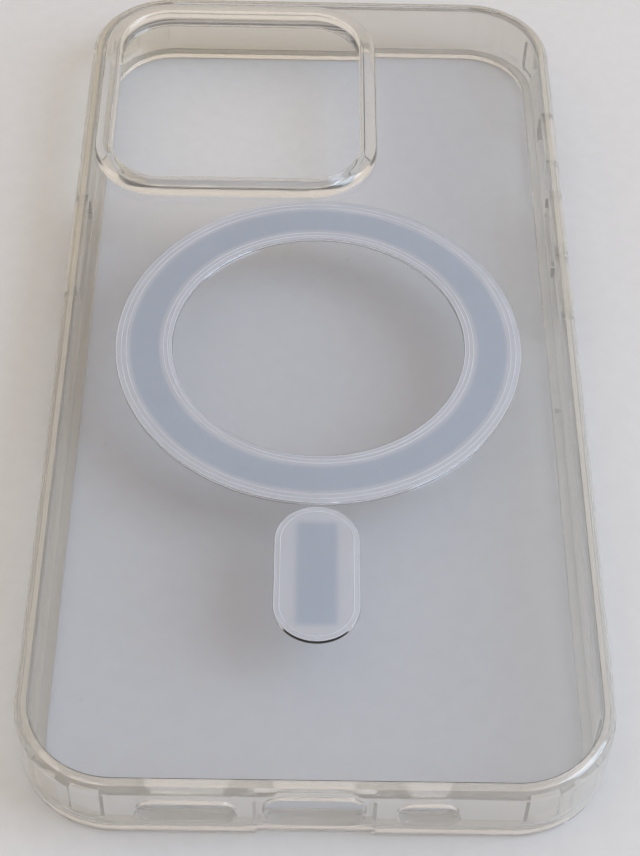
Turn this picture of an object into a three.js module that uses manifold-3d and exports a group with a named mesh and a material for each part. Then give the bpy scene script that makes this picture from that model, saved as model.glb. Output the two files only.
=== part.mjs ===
// A clear phone case with an accessory magnet ring, lying on its open front with its back up.
//
// Millimetres. X is the width, Y runs from the charging-port end to the camera end, and Z is up,
// out of the back. The origin is at the bottom centre of the case, on the plane of its front rim.
// A soft clear frame goes round a hard clear back plate. The plate holds a ring of magnets and a
// short alignment magnet between films, and three buttons slide in the frame's side walls.

import * as THREE from 'three';
import { mergeVertices } from 'three/addons/utils/BufferGeometryUtils.js';
import Module from 'manifold-3d';

const wasm = await Module();
wasm.setup();

// Overall size
const CASE_WIDTH = 74.9;
const CASE_LENGTH = 150.9;
const BACK_HEIGHT = 10.7;
const CORNER_RADIUS = 13;

// Soft frame: the side walls, the lip round the screen side and its rounded edges
const WALL = 2.05;
const LIP_HEIGHT = 1.1;
const LIP_OVERHANG = 1.3;
const BACK_EDGE_RADIUS = 1.5;
const RIM_EDGE_RADIUS = 0.7;
const CORNER_SEGMENTS = 5;
const PAST = 1;

// Hard back plate, keyed into a groove in the frame by a thin flange. The face that the phone lies
// on stands a small step proud of the flange, inside the frame's walls.
const PLATE_THICKNESS = 1.5;
const PLATE_INSET = 1.7;
const FLANGE_INSET = 1;
const FLANGE_THICKNESS = 0.7;
const SEAT_STEP = 0.1;
const BOND_GAP = 0.1;

// Shallow cells moulded in the inside of each corner to soften a drop
const CELL_DEPTH = 0.6;
const CELL_BOTTOM = 2.2;
const CELL_TOP = 8.4;
const CELL_SPAN = 20;
const CELL_ANGLES = [17, 45, 73];

// Camera window and the raised guard round it
const WINDOW_X = -13.1;
const WINDOW_Y = 49.4;
const WINDOW_WIDTH = 38.6;
const WINDOW_LENGTH = 39.5;
const WINDOW_RADIUS = 8;
const GUARD_HEIGHT = 1.8;
const GUARD_CREST = 1.3;
const GUARD_SLOPE = 1.45;
const GUARD_LINING = 0.8;
const GUARD_BEVEL = 0.4;

// Accessory magnet ring: segments between a cover film and a backing film, in a recess
const RING_Y = -2.5;
const FILM_OUTER = 58;
const FILM_INNER = 42;
const FILM_THICKNESS = 0.13;
const FILM_MARGIN = 0.2;
const MAGNET_COUNT = 36;
const MAGNET_OUTER = 54;
const MAGNET_INNER = 45.6;
const MAGNET_THICKNESS = 0.55;
const MAGNET_SPACING = 0.3;
const LAYER_GAP = 0.05;
const RECESS_DEPTH = 1;

// Alignment magnet below the ring, in a pill-shaped recess of its own
const BAR_Y = -42.9;
const BAR_FILM_WIDTH = 11.2;
const BAR_FILM_LENGTH = 21.4;
const BAR_WIDTH = 5.4;
const BAR_LENGTH = 16.4;
const BAR_RADIUS = 1;

// Openings in the wall at the port end
const DEVICE_MIDDLE = 5.1;
const PORT_WIDTH = 12.4;
const PORT_BOTTOM = 1.6;
const PORT_TOP = 7.7;
const PORT_RADIUS = 2.4;
const SCOOP_WIDTH = 14;
const SCOOP_DEPTH = 0.55;
const SCOOP_SHOULDER = 7.9;
const SCOOP_CREST = 11.2;
const GRILLE_HEIGHT = 3.8;
const MICROPHONE_SLOT = { x: -15.7, length: 12 };
const SPEAKER_SLOT = { x: 13.9, length: 7.4 };

// Opening for the ring and silent switch, in the right wall
const SWITCH_Y = 44.3;
const SWITCH_LENGTH = 11.4;
const SWITCH_HEIGHT = 5;
const SWITCH_RADIUS = 2;

// Buttons: a cap through the wall, and a flange that travels in a pocket on the inside
const BUTTON_HEIGHT = 3.2;
const BUTTON_PROUD = 0.2;
const BUTTON_CLEARANCE = 0.2;
const BUTTON_EDGE = 0.3;
const BUTTON_TRAVEL = 0.4;
const BUTTON_FLANGE = 0.4;
const BUTTON_FLANGE_MARGIN = 0.7;
const BUTTON_STOP_GAP = 0.05;
const POWER_BUTTON = { y: 19.2, length: 19, side: -1 };
const VOLUME_UP_BUTTON = { y: 25.5, length: 11.4, side: 1 };
const VOLUME_DOWN_BUTTON = { y: 12.1, length: 11.4, side: 1 };

const FINISHES = {
  frame: { color: 0xb4ac9b, roughness: 0.12, metalness: 0 },
  plate: { color: 0xb2b0b6, roughness: 0.06, metalness: 0 },
  guard: { color: 0xb2ae9f, roughness: 0.1, metalness: 0 },
  film: { color: 0xb6b6be, roughness: 0.5, metalness: 0 },
  backing: { color: 0xc2c2c6, roughness: 0.6, metalness: 0 },
  magnet: { color: 0xa3aab4, roughness: 0.35, metalness: 0.6 },
  button: { color: 0xb0aa9c, roughness: 0.15, metalness: 0 },
};

const half = (value) => value / 2;
const degrees = (value) => THREE.MathUtils.degToRad(value);

// Outlines

function roundedRectangle(width, length, radius, x = 0, y = 0) {
  const dx = half(width) - radius;
  const dy = half(length) - radius;
  const shape = new THREE.Shape();
  shape.absarc(x + dx, y + dy, radius, 0, half(Math.PI));
  shape.absarc(x - dx, y + dy, radius, half(Math.PI), Math.PI);
  shape.absarc(x - dx, y - dy, radius, Math.PI, 1.5 * Math.PI);
  shape.absarc(x + dx, y - dy, radius, 1.5 * Math.PI, 2 * Math.PI);
  return shape;
}

function caseOutline(inset) {
  return roundedRectangle(CASE_WIDTH - 2 * inset, CASE_LENGTH - 2 * inset, CORNER_RADIUS - inset);
}

function windowOutline(outset) {
  const width = WINDOW_WIDTH + 2 * outset;
  const length = WINDOW_LENGTH + 2 * outset;
  return roundedRectangle(width, length, WINDOW_RADIUS + outset, WINDOW_X, WINDOW_Y);
}

function pill(length, height, x, y) {
  return roundedRectangle(length, height, half(height), x, y);
}

function annulus(outer, inner) {
  const shape = new THREE.Shape().absarc(0, 0, half(outer), 0, 2 * Math.PI);
  shape.holes.push(new THREE.Path().absarc(0, 0, half(inner), 0, 2 * Math.PI));
  return shape;
}

function sector(outer, inner, from, to) {
  const shape = new THREE.Shape();
  shape.absarc(0, 0, outer, from, to);
  shape.absarc(0, 0, inner, to, from, true);
  return shape;
}

// Prisms, upright or lying along an axis

function prism(shape, bottom, top, curveSegments = CORNER_SEGMENTS) {
  const options = { depth: top - bottom, bevelEnabled: false, curveSegments };
  return new THREE.ExtrudeGeometry(shape, options).translate(0, 0, bottom);
}

function softPrism(shape, bottom, top, run, rise, bevelSegments) {
  const options = {
    depth: top - bottom - 2 * rise,
    bevelThickness: rise,
    bevelSize: run,
    bevelOffset: -run,
    bevelSegments,
    curveSegments: CORNER_SEGMENTS,
  };
  return new THREE.ExtrudeGeometry(shape, options).translate(0, 0, bottom + rise);
}

// A shape drawn in X and Z goes through the port-end wall, over a range of Y.
function throughPortEnd(shape, from, to) {
  return prism(shape, -to, -from).rotateX(half(Math.PI));
}

// A solid drawn in Y and Z with its height along Z is turned to point out along X.
function turnToSide(geometry) {
  return geometry.rotateX(half(Math.PI)).rotateZ(half(Math.PI));
}

// Solids for cutting and joining

function solid(geometry) {
  const bare = geometry.clone();
  bare.deleteAttribute('normal');
  bare.deleteAttribute('uv');
  const merged = mergeVertices(bare, 1e-4);
  const vertProperties = new Float32Array(merged.attributes.position.array);
  const triVerts = new Uint32Array(merged.index.array);
  return new wasm.Manifold(new wasm.Mesh({ numProp: 3, vertProperties, triVerts }));
}

function geometryOf(manifold) {
  const mesh = manifold.getMesh();
  const geometry = new THREE.BufferGeometry();
  geometry.setAttribute('position', new THREE.BufferAttribute(mesh.vertProperties, 3));
  geometry.setIndex(new THREE.BufferAttribute(mesh.triVerts, 1));
  geometry.computeVertexNormals();
  return geometry;
}

function cutAll(body, cutters) {
  return cutters.reduce((rest, cutter) => rest.subtract(solid(cutter)), body);
}

// Soft frame

function frameBlank() {
  const reach = 2 * BACK_EDGE_RADIUS;
  const radius = BACK_EDGE_RADIUS;
  const rim = RIM_EDGE_RADIUS;
  const backRounded = softPrism(caseOutline(0), -reach, BACK_HEIGHT, radius, radius, 5);
  const rimRounded = softPrism(caseOutline(0), 0, BACK_HEIGHT + reach, rim, rim, 2);
  return solid(backRounded).intersect(solid(rimRounded));
}

function frameHollow() {
  const plateUnderside = BACK_HEIGHT - PLATE_THICKNESS;
  const flangeBottom = plateUnderside + SEAT_STEP;
  const grooveTop = flangeBottom + FLANGE_THICKNESS + BOND_GAP;
  return [
    prism(caseOutline(WALL + LIP_OVERHANG), -PAST, LIP_HEIGHT + PAST),
    prism(caseOutline(WALL), LIP_HEIGHT, plateUnderside + BOND_GAP),
    prism(caseOutline(FLANGE_INSET - BOND_GAP), flangeBottom - BOND_GAP, grooveTop),
    prism(caseOutline(PLATE_INSET - BOND_GAP), flangeBottom, BACK_HEIGHT + PAST),
  ];
}

function cornerCell(centreX, centreY, middleAngle) {
  const from = degrees(middleAngle - half(CELL_SPAN));
  const to = degrees(middleAngle + half(CELL_SPAN));
  const inner = CORNER_RADIUS - WALL - PAST;
  const outer = CORNER_RADIUS - WALL + CELL_DEPTH;
  const cell = prism(sector(outer, inner, from, to), CELL_BOTTOM, CELL_TOP, 2);
  return cell.translate(centreX, centreY, 0);
}

function cornerCells() {
  const centreX = half(CASE_WIDTH) - CORNER_RADIUS;
  const centreY = half(CASE_LENGTH) - CORNER_RADIUS;
  const corners = [[1, 1, 0], [-1, 1, 90], [-1, -1, 180], [1, -1, 270]];
  return corners.flatMap(([signX, signY, turn]) => (
    CELL_ANGLES.map((angle) => cornerCell(signX * centreX, signY * centreY, turn + angle))
  ));
}

function scoopOutline() {
  const shape = new THREE.Shape();
  shape.moveTo(-half(SCOOP_WIDTH), -PAST);
  shape.lineTo(half(SCOOP_WIDTH), -PAST);
  shape.lineTo(half(SCOOP_WIDTH), SCOOP_SHOULDER);
  shape.quadraticCurveTo(0, SCOOP_CREST, -half(SCOOP_WIDTH), SCOOP_SHOULDER);
  return shape;
}

function portEndOpenings() {
  const outerFace = -half(CASE_LENGTH);
  const outside = outerFace - PAST;
  const inside = outerFace + WALL + PAST;
  const portMiddle = half(PORT_BOTTOM + PORT_TOP);
  const port = roundedRectangle(PORT_WIDTH, PORT_TOP - PORT_BOTTOM, PORT_RADIUS, 0, portMiddle);
  const slots = [MICROPHONE_SLOT, SPEAKER_SLOT].map((slot) => (
    throughPortEnd(pill(slot.length, GRILLE_HEIGHT, slot.x, DEVICE_MIDDLE), outside, inside)
  ));
  return [
    throughPortEnd(port, outside, inside),
    throughPortEnd(scoopOutline(), outside, outerFace + SCOOP_DEPTH),
    ...slots,
  ];
}

function switchOpening() {
  const outline = roundedRectangle(
    SWITCH_LENGTH, SWITCH_HEIGHT, SWITCH_RADIUS, SWITCH_Y, DEVICE_MIDDLE,
  );
  const outerFace = half(CASE_WIDTH);
  return turnToSide(prism(outline, outerFace - WALL - PAST, outerFace + PAST));
}

// Buttons, each drawn for the right-hand wall and mirrored by a half turn for the left

function onSide(geometry, side) {
  return side > 0 ? geometry : geometry.rotateZ(Math.PI);
}

function buttonPart(button, outset, from, to) {
  const outline = pill(
    button.length + 2 * outset, BUTTON_HEIGHT + 2 * outset, button.side * button.y, DEVICE_MIDDLE,
  );
  return turnToSide(prism(outline, from, to));
}

function pocketFloor() {
  return half(CASE_WIDTH) - WALL + BUTTON_TRAVEL + BUTTON_FLANGE + BUTTON_STOP_GAP;
}

function buttonOpenings(button) {
  const clear = BUTTON_CLEARANCE;
  const cavityWall = half(CASE_WIDTH) - WALL;
  const outside = half(CASE_WIDTH) + PAST;
  const slot = buttonPart(button, clear, cavityWall - PAST, outside);
  const pocket = buttonPart(button, BUTTON_FLANGE_MARGIN + clear, cavityWall - PAST, pocketFloor());
  return [onSide(slot, button.side), onSide(pocket, button.side)];
}

function buttonGeometry(button) {
  const flangeOuter = pocketFloor() - BUTTON_STOP_GAP;
  const flange = buttonPart(button, BUTTON_FLANGE_MARGIN, flangeOuter - BUTTON_FLANGE, flangeOuter);
  const outline = pill(button.length, BUTTON_HEIGHT, button.side * button.y, DEVICE_MIDDLE);
  const capTop = half(CASE_WIDTH) + BUTTON_PROUD;
  const capBottom = flangeOuter - 0.75 * BUTTON_FLANGE;
  const cap = softPrism(outline, capBottom - BUTTON_EDGE, capTop, BUTTON_EDGE, BUTTON_EDGE, 2);
  const trimmed = solid(turnToSide(cap)).intersect(solid(buttonPart(button, PAST, capBottom, capTop)));
  return onSide(geometryOf(trimmed.add(solid(flange))), button.side);
}

function frameGeometry() {
  const cutters = [
    ...frameHollow(),
    ...cornerCells(),
    ...portEndOpenings(),
    switchOpening(),
    ...[POWER_BUTTON, VOLUME_UP_BUTTON, VOLUME_DOWN_BUTTON].flatMap(buttonOpenings),
  ];
  return geometryOf(cutAll(frameBlank(), cutters));
}

// Hard back plate, with its window, its keying flange and the recesses for the magnets

function plateGeometry() {
  const underside = BACK_HEIGHT - PLATE_THICKNESS;
  const recessTop = underside + RECESS_DEPTH;
  const flangeBottom = underside + SEAT_STEP;
  const seat = solid(prism(caseOutline(WALL + BOND_GAP), underside, BACK_HEIGHT));
  const panel = solid(prism(caseOutline(PLATE_INSET), flangeBottom, BACK_HEIGHT));
  const flange = solid(prism(caseOutline(FLANGE_INSET), flangeBottom, flangeBottom + FLANGE_THICKNESS));
  const ringRecess = prism(
    annulus(FILM_OUTER + 2 * FILM_MARGIN, FILM_INNER - 2 * FILM_MARGIN), underside - PAST, recessTop, 24,
  );
  const barOutline = roundedRectangle(
    BAR_FILM_WIDTH + 2 * FILM_MARGIN, BAR_FILM_LENGTH + 2 * FILM_MARGIN,
    half(BAR_FILM_WIDTH) + FILM_MARGIN, 0, BAR_Y,
  );
  const cutters = [
    prism(windowOutline(GUARD_LINING + BOND_GAP), underside - PAST, BACK_HEIGHT + PAST),
    ringRecess.translate(0, RING_Y, 0),
    prism(barOutline, underside - PAST, recessTop),
  ];
  return geometryOf(cutAll(seat.add(panel).add(flange), cutters));
}

// Camera guard: a raised ring with a rounded outer slope, and a lining down through the window

function guardGeometry() {
  const underside = BACK_HEIGHT - PLATE_THICKNESS;
  const foot = BACK_HEIGHT + LAYER_GAP;
  const top = BACK_HEIGHT + GUARD_HEIGHT;
  const rise = top - foot - GUARD_BEVEL;
  const base = windowOutline(GUARD_CREST + GUARD_SLOPE);
  const mound = softPrism(base, foot - 2 * rise, top, GUARD_SLOPE, rise, 4);
  const aboveBack = prism(windowOutline(GUARD_CREST + GUARD_SLOPE + PAST), foot, top + PAST);
  const lining = prism(windowOutline(GUARD_LINING), underside, foot + PAST);
  const mouth = softPrism(
    windowOutline(GUARD_BEVEL), top - GUARD_BEVEL, top + 3 * PAST, GUARD_BEVEL, GUARD_BEVEL, 1,
  );
  const ring = solid(mound).intersect(solid(aboveBack)).add(solid(lining));
  return geometryOf(cutAll(ring, [prism(windowOutline(0), underside - PAST, top + PAST), mouth]));
}

// Magnets and films, stacked up from the plate's underside

const filmBottom = BACK_HEIGHT - PLATE_THICKNESS + LAYER_GAP;
const magnetBottom = filmBottom + FILM_THICKNESS + LAYER_GAP;
const coverBottom = magnetBottom + MAGNET_THICKNESS + LAYER_GAP;

function magnetGeometry() {
  const middle = 0.25 * (MAGNET_OUTER + MAGNET_INNER);
  const spacingAngle = MAGNET_SPACING / middle;
  const reach = half(2 * Math.PI / MAGNET_COUNT - spacingAngle);
  const outline = sector(half(MAGNET_OUTER), half(MAGNET_INNER), -reach, reach);
  return prism(outline, 0, MAGNET_THICKNESS, 1);
}

function ringFilm(bottom) {
  return prism(annulus(FILM_OUTER, FILM_INNER), bottom, bottom + FILM_THICKNESS, 24).translate(0, RING_Y, 0);
}

function barFilm(bottom) {
  const outline = roundedRectangle(BAR_FILM_WIDTH, BAR_FILM_LENGTH, half(BAR_FILM_WIDTH), 0, BAR_Y);
  return prism(outline, bottom, bottom + FILM_THICKNESS);
}

function barMagnet() {
  const outline = roundedRectangle(BAR_WIDTH, BAR_LENGTH, BAR_RADIUS, 0, BAR_Y);
  return prism(outline, magnetBottom, magnetBottom + MAGNET_THICKNESS, 2);
}

// Assembly

function named(name, geometry, finish) {
  const mesh = new THREE.Mesh(geometry, new THREE.MeshStandardMaterial(FINISHES[finish]));
  mesh.name = name;
  return mesh;
}

function magnetRing() {
  const ring = new THREE.Group();
  ring.position.set(0, RING_Y, magnetBottom);
  for (let index = 0; index < MAGNET_COUNT; index += 1) {
    const number = String(index + 1).padStart(2, '0');
    const magnet = named(`magnet_${number}`, magnetGeometry(), 'magnet');
    magnet.rotation.z = (index + 0.5) * 2 * Math.PI / MAGNET_COUNT;
    ring.add(magnet);
  }
  return ring;
}

const phoneCase = new THREE.Group();
phoneCase.add(
  named('bumper_frame', frameGeometry(), 'frame'),
  named('back_plate', plateGeometry(), 'plate'),
  named('camera_guard', guardGeometry(), 'guard'),
  named('ring_cover_film', ringFilm(coverBottom), 'film'),
  magnetRing(),
  named('ring_backing_film', ringFilm(filmBottom), 'backing'),
  named('bar_cover_film', barFilm(coverBottom), 'film'),
  named('alignment_magnet', barMagnet(), 'magnet'),
  named('bar_backing_film', barFilm(filmBottom), 'backing'),
  named('power_button', buttonGeometry(POWER_BUTTON), 'button'),
  named('volume_up_button', buttonGeometry(VOLUME_UP_BUTTON), 'button'),
  named('volume_down_button', buttonGeometry(VOLUME_DOWN_BUTTON), 'button'),
);

export default phoneCase;
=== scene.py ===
"""A clear phone case with a magnet ring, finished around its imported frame.

Metres, Z up, with the case lying on its open front and its back up. X is the width, Y runs from
the charging-port end to the camera end. Sizes below are in millimetres where a name ends in _mm.
"""

import math

import bmesh
import bpy
import numpy as np
from mathutils import Euler, Matrix, Vector


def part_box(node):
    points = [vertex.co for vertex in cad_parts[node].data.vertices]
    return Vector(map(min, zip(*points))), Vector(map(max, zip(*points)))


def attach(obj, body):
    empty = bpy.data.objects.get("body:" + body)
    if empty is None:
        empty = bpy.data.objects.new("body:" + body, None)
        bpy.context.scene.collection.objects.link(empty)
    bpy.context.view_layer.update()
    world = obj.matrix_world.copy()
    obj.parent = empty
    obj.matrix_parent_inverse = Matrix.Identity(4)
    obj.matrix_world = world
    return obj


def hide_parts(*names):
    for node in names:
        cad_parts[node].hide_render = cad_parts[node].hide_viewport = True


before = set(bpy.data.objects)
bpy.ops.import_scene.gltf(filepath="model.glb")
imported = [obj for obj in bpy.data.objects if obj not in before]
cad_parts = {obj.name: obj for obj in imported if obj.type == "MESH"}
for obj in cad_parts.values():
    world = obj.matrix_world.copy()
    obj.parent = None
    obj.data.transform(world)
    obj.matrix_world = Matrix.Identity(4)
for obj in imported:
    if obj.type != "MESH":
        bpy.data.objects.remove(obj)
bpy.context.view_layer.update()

bl_info = {
    "name": "Clear Phone Case",
    "version": (1, 0, 0),
    "blender": (4, 5, 0),
    "location": "View3D > Sidebar > Phone Case",
    "description": "Builds a clear phone case with a magnet ring around its packed frame",
    "category": "Object",
}

MM = 0.001
CASE_BODY = "case"
# Small gaps in millimetres: between fitted pieces, and between the rim and the floor
HAIR = 0.02
FLOOR_GAP = 0.05


def millimetres(node):
    """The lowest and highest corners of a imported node, in millimetres."""
    low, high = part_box(node)
    return np.array(low) / MM, np.array(high) / MM


def middle(node):
    """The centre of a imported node, in millimetres."""
    low, high = millimetres(node)
    return (low + high) / 2


def ring_radii(node, centre):
    """The inner and outer radius of a packed ring segment about a centre, in millimetres."""
    points = np.array([v.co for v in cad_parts[node].data.vertices]) / MM
    reach = np.hypot(points[:, 0] - centre[0], points[:, 1] - centre[1])
    return float(reach.min()), float(reach.max())


FRAME_LOW, FRAME_HIGH = millimetres("bumper_frame")
CASE_WIDTH, CASE_LENGTH, BACK_TOP = FRAME_HIGH - FRAME_LOW
PLATE_LOW, PLATE_HIGH = millimetres("back_plate")
GUARD_LOW, GUARD_HIGH = millimetres("camera_guard")
RING_CENTRE = middle("ring_cover_film")
MAGNET_COUNT = sum(name.startswith("magnet_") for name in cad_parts)
MAGNET_NODES = [f"magnet_{number:02d}" for number in range(1, MAGNET_COUNT + 1)]


# ---------------------------------------------------------------- settings


def length(name, description, default):
    """A size in millimetres, shown as a plain number."""
    return bpy.props.FloatProperty(name=name, description=description, default=default)


def colour(name, description, default):
    """A surface or light colour."""
    return bpy.props.FloatVectorProperty(
        name=name, description=description, default=default, subtype="COLOR", size=3
    )


class FrameSettings(bpy.types.PropertyGroup):
    """Sizes of the soft frame."""

    corner_radius: length("Corner radius", "Radius of the outline's corners, mm", 13.0)
    wall: length("Wall", "Thickness of the side walls, mm", 2.05)
    lip: length("Lip overhang", "How far the lip reaches over the screen, mm", 1.3)
    lip_height: length("Lip height", "Thickness of the lip, mm", 1.1)
    back_edge: length("Back edge", "Radius of the edge round the back, mm", 1.5)
    rim_edge: length("Rim edge", "Radius of the edge round the front rim, mm", 0.7)
    lip_edge: length("Lip edge", "Radius of the lip's inner edge, mm", 0.4)
    plate_inset: length("Plate inset", "Distance from the outline to the plate, mm", 1.7)
    flange_inset: length("Flange inset", "Distance from the outline to the flange, mm", 1.0)
    flange: length("Flange", "Thickness of the flange that keys the plate, mm", 0.7)
    cell_depth: length("Cell depth", "Depth of the cells inside the corners, mm", 0.3)
    cell_span: length("Cell span", "Width of one corner cell, degrees", 20.0)


class GuardSettings(bpy.types.PropertyGroup):
    """Sizes of the camera window and its guard."""

    window_radius: length("Window radius", "Radius of the window's corners, mm", 8.0)
    crest: length("Crest", "Width of the guard's flat crest, mm", 1.3)
    slope: length("Slope", "Width of the guard's outer slope, mm", 1.45)
    lining: length("Lining", "Thickness of the guard inside the window, mm", 0.8)
    bevel: length("Bevel", "Rounding of the guard's inner edge, mm", 0.45)


class RingSettings(bpy.types.PropertyGroup):
    """Sizes of the magnets, their films and the recesses that hold them."""

    gap: length("Gap", "Space between neighbouring magnets, mm", 0.16)
    margin: length("Margin", "Space round the films in their recesses, mm", 0.05)
    bead_spacing: length("Bead spacing", "Distance between the films' edge lines, mm", 0.7)
    bead_radius: length("Bead radius", "Radius of the films' edge lines, mm", 0.075)
    bead_count: bpy.props.IntProperty(
        name="Beads", description="Edge lines along each edge of a film", default=3
    )


class FinishSettings(bpy.types.PropertyGroup):
    """Colours of the pieces."""

    frame_fresh: colour("Frame", "Soft frame where it is still clear", (0.98, 0.96, 0.925))
    frame_aged: colour("Frame, aged", "Soft frame where it has yellowed", (0.97, 0.92, 0.82))
    guard_fresh: colour("Guard", "Camera guard where it is still clear", (0.93, 0.93, 0.925))
    guard_aged: colour("Guard, aged", "Camera guard where it has yellowed", (0.90, 0.89, 0.86))
    plate: colour("Plate", "Clear back plate", (0.945, 0.945, 0.96))
    film: colour("Film", "Frosted film beside the magnets", (0.87, 0.865, 0.885))
    film_dark: colour("Film over magnets", "Frosted film where magnets show through", (0.66, 0.72, 0.80))
    bead: colour("Film edge", "Edge lines of the films", (0.95, 0.95, 0.97))
    backing: colour("Backing", "Adhesive film behind the magnets", (0.92, 0.92, 0.93))
    magnet: colour("Magnet", "Plated magnets", (0.27, 0.31, 0.38))


class StageSettings(bpy.types.PropertyGroup):
    """The floor, the lights and the camera."""

    floor: colour("Floor", "Pale floor", (0.68, 0.68, 0.69))
    sky: colour("Sky", "Soft light from all round", (1.0, 0.90, 0.80))
    sky_strength: bpy.props.FloatProperty(
        name="Sky strength", description="Brightness of the soft light", default=0.80
    )
    key: colour("Key", "Colour of the window light", (0.62, 0.78, 1.0))
    key_power: bpy.props.FloatProperty(
        name="Key power", description="Power of the window light", default=3.6, unit="POWER"
    )
    camera_place: bpy.props.FloatVectorProperty(
        name="Camera place",
        description="Where the camera stands",
        default=(-0.0026, -0.1923, 0.2195),
        unit="LENGTH",
        size=3,
    )
    pitch: bpy.props.FloatProperty(
        name="Pitch", description="How far the camera looks down",
        default=math.radians(50.26), unit="ROTATION",
    )
    yaw: bpy.props.FloatProperty(
        name="Yaw", description="Turn of the camera to the side", default=math.radians(-0.95), unit="ROTATION"
    )
    roll: bpy.props.FloatProperty(
        name="Roll", description="Tilt of the camera", default=math.radians(1.62), unit="ROTATION"
    )
    focal: bpy.props.FloatProperty(
        name="Focal length", description="Focal length of the lens, mm", default=82.76
    )


# ---------------------------------------------------------------- outlines


def rounded_outline(width, length, radius, centre=(0.0, 0.0), steps=20, spacing=4.0):
    """Stations round a rounded rectangle, anticlockwise. Each is its place, its outward normal and
    its angle through its corner in degrees, or None on a straight side."""
    dx, dy = width / 2 - radius, length / 2 - radius
    corners = [(dx, dy), (-dx, dy), (-dx, -dy), (dx, -dy)]
    stations = []
    for index, (cx, cy) in enumerate(corners):
        for step in range(steps + 1):
            through = 90 * step / steps
            angle = math.radians(90 * index + through)
            nx, ny = math.cos(angle), math.sin(angle)
            place = (centre[0] + cx + radius * nx, centre[1] + cy + radius * ny)
            stations.append((place, (nx, ny), through))
        last_place, normal, _ = stations[-1]
        next_x, next_y = corners[(index + 1) % 4]
        goal = (centre[0] + next_x + radius * normal[0], centre[1] + next_y + radius * normal[1])
        count = round(math.dist(last_place, goal) / spacing)
        for step in range(1, count):
            share = step / count
            place = tuple(a + (b - a) * share for a, b in zip(last_place, goal))
            stations.append((place, normal, None))
    return distinct(stations)


def distinct(stations):
    """The stations without those that repeat the one before."""
    kept = []
    for station in stations:
        if not kept or math.dist(kept[-1][0], station[0]) > 1e-6:
            kept.append(station)
    if math.dist(kept[0][0], kept[-1][0]) <= 1e-6:
        kept.pop()
    return kept


def arc(centre, radius, start, end, steps):
    """Points of an arc in a section, from one angle in degrees to another."""
    turn = (end - start) / steps
    angles = [math.radians(start + turn * step) for step in range(steps + 1)]
    return [(centre[0] + radius * math.cos(a), centre[1] + radius * math.sin(a)) for a in angles]


def offset_ring(stations, outset, z):
    """The outline moved outwards, at a height, as a ring of points."""
    return [Vector((x + nx * outset, y + ny * outset, z)) for (x, y), (nx, ny), _ in stations]


# ---------------------------------------------------------------- meshes


def mesh_object(name, points, faces):
    """A new object from points in millimetres, with its place in its mesh."""
    mesh = bpy.data.meshes.new(name)
    mesh.from_pydata([tuple(Vector(p) * MM) for p in points], [], faces)
    mesh.validate()
    obj = bpy.data.objects.new(name, mesh)
    bpy.context.scene.collection.objects.link(obj)
    return obj


def swept(name, stations, section):
    """A closed ring: section(station) is a loop of (outset, height) points at each station."""
    loops = [section(station) for station in stations]
    size = len(loops[0])
    points = []
    for ((x, y), (nx, ny), _), loop in zip(stations, loops):
        points += [(x + nx * outset, y + ny * outset, z) for outset, z in loop]
    count = len(stations)
    faces = []
    for i in range(count):
        after = (i + 1) % count
        for j in range(size):
            up = (j + 1) % size
            faces.append((i * size + j, after * size + j, after * size + up, i * size + up))
    return mesh_object(name, points, faces)


def stacked(name, rings):
    """A closed solid through rings of equal size, with a flat cap at each end."""
    size = len(rings[0])
    points = [point for ring in rings for point in ring]
    faces = [tuple(reversed(range(size)))]
    for level in range(len(rings) - 1):
        low, high = level * size, (level + 1) * size
        for i in range(size):
            after = (i + 1) % size
            faces.append((low + i, low + after, high + after, high + i))
    top = (len(rings) - 1) * size
    faces.append(tuple(range(top, top + size)))
    return mesh_object(name, points, faces)


def joined(name, objects):
    """One object that holds the meshes of several."""
    result = bmesh.new()
    for obj in objects:
        result.from_mesh(obj.data)
        discard(obj)
    mesh = bpy.data.meshes.new(name)
    result.to_mesh(mesh)
    result.free()
    obj = bpy.data.objects.new(name, mesh)
    bpy.context.scene.collection.objects.link(obj)
    return obj


def discard(obj):
    """Removes a helper object and its mesh."""
    data = obj.data
    bpy.data.objects.remove(obj)
    if data.users == 0 and isinstance(data, bpy.types.Mesh):
        bpy.data.meshes.remove(data)


def evaluated_mesh(obj):
    """The mesh of an object with its modifiers worked in."""
    graph = bpy.context.evaluated_depsgraph_get()
    graph.update()
    return bpy.data.meshes.new_from_object(obj.evaluated_get(graph), depsgraph=graph)


def bake_modifiers(obj):
    """Works the modifiers into the mesh and takes them off."""
    mesh = evaluated_mesh(obj)
    obj.modifiers.clear()
    old, obj.data = obj.data, mesh
    bpy.data.meshes.remove(old)
    return obj


def combined(obj, tools, operation):
    """Cuts tools from obj, or joins them to it, and discards them."""
    for tool in tools:
        modifier = obj.modifiers.new(operation, "BOOLEAN")
        modifier.operation = operation
        modifier.solver = "EXACT"
        modifier.object = tool
    bake_modifiers(obj)
    for tool in tools:
        discard(tool)
    return obj


def tidied(obj, sharp_degrees=32.0):
    """Welds stray points, and shades smooth except over sharp edges, keeping flat faces flat."""
    work = bmesh.new()
    work.from_mesh(obj.data)
    bmesh.ops.remove_doubles(work, verts=work.verts, dist=2e-7)
    bmesh.ops.dissolve_degenerate(work, edges=work.edges, dist=1e-7)
    work.to_mesh(obj.data)
    work.free()
    obj.data.polygons.foreach_set("use_smooth", [True] * len(obj.data.polygons))
    obj.data.set_sharp_from_angle(angle=math.radians(sharp_degrees))
    flatten = obj.modifiers.new("Weighted normals", "WEIGHTED_NORMAL")
    flatten.mode = "FACE_AREA"
    flatten.keep_sharp = True
    return bake_modifiers(obj)


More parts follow.
